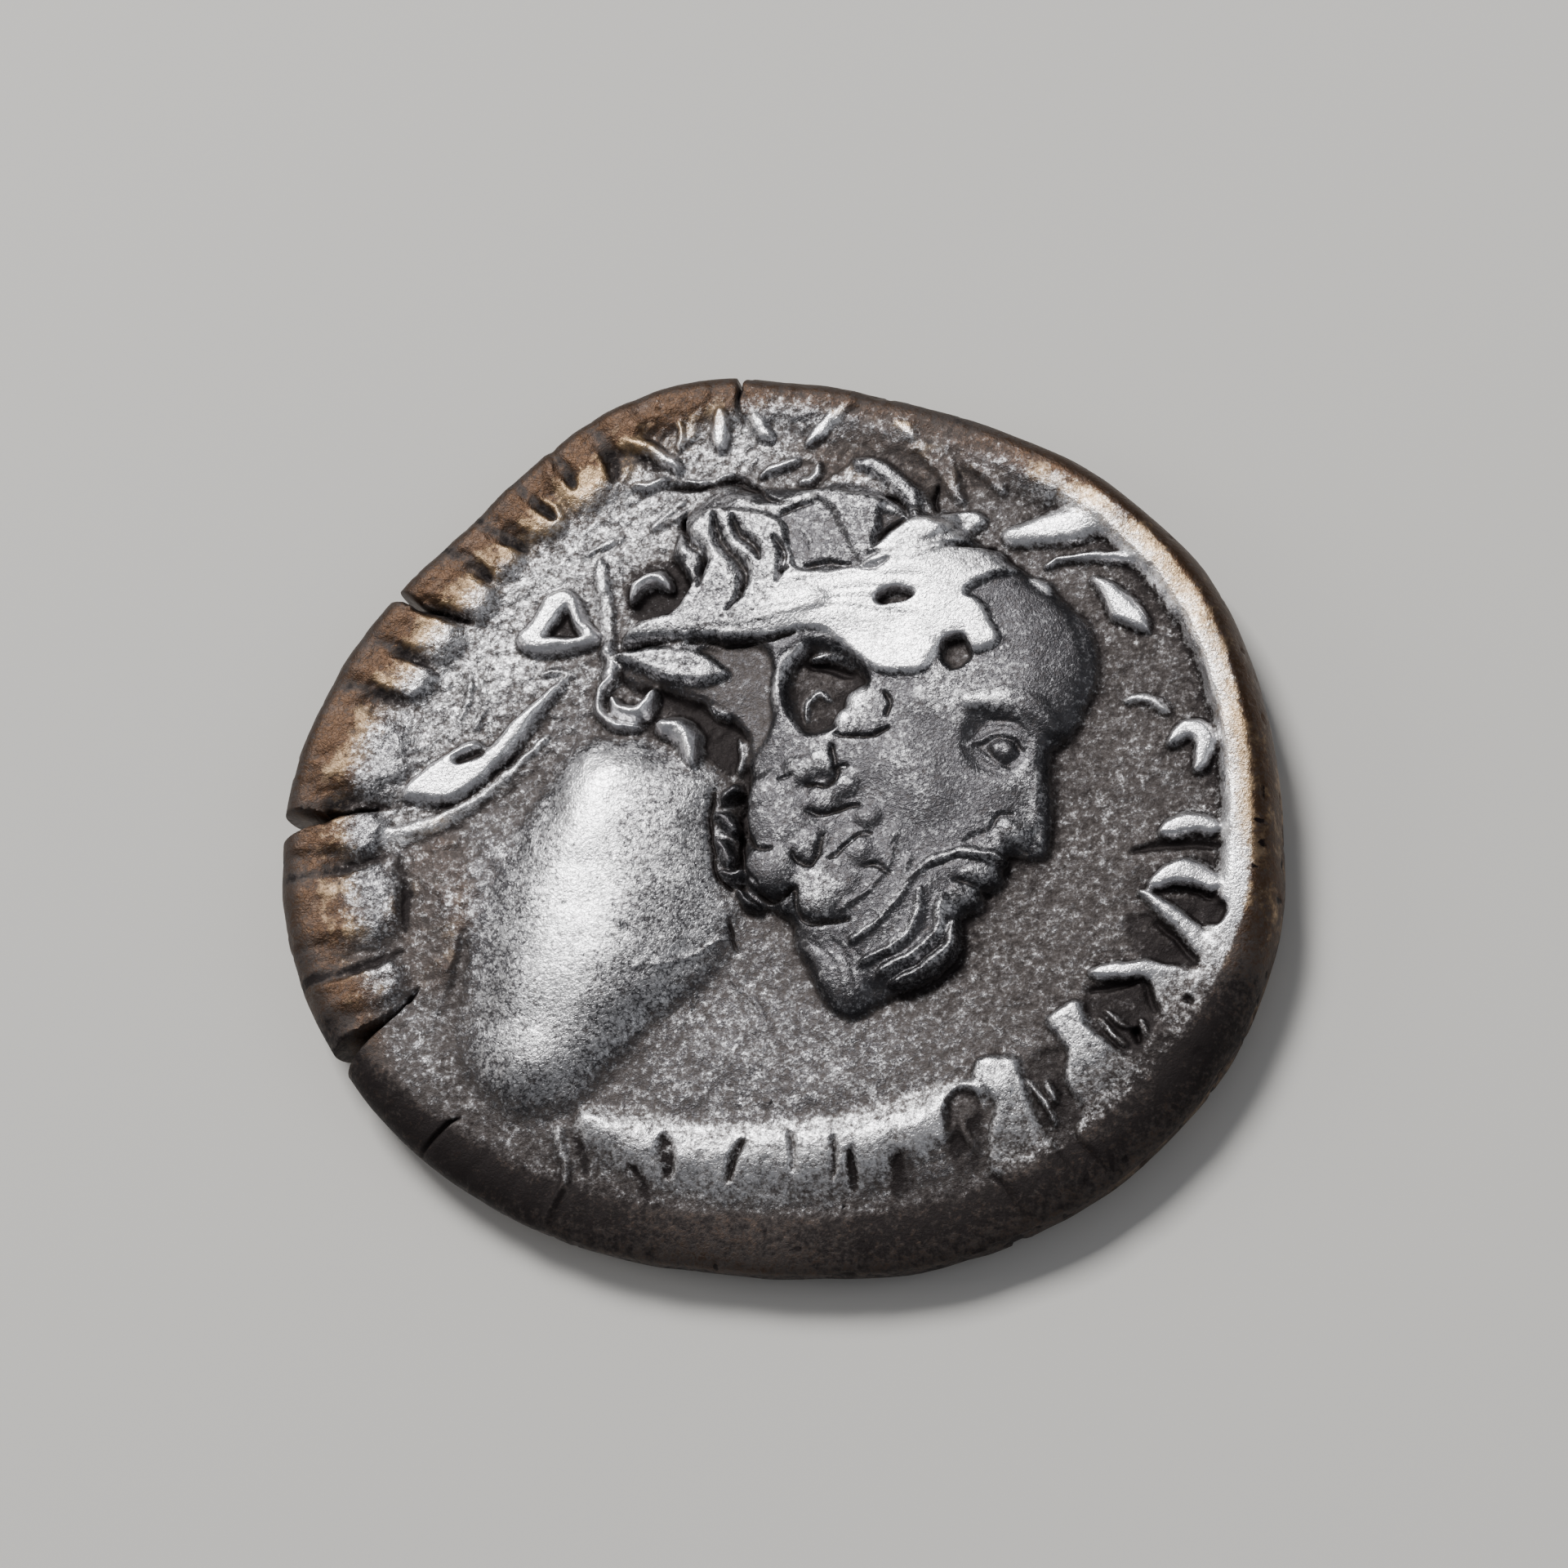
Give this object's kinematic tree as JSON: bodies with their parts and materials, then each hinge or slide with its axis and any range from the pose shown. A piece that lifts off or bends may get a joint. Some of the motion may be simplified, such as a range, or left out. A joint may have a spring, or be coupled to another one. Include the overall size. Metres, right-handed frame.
{
  "type": "denarius coin",
  "caption": "Worn silver denarius with a wreathed, bearded head in relief on an irregular, cracked flan, lying with the head side up.",
  "frame": {"origin": "middle of the coin's box, on the plane that its reverse rests on", "axes": "+Z out of the obverse, +Y towards the top of the obverse as it is read, +X the way the head looks"},
  "size_m": [0.0184, 0.0172, 0.0021],
  "materials": {
    "struck_silver": "worn silver with dark patina in the recesses and brown toning on the rim"
  },
  "bodies": {
    "root": {"coin": "struck_silver"}
  },
  "joints": []
}
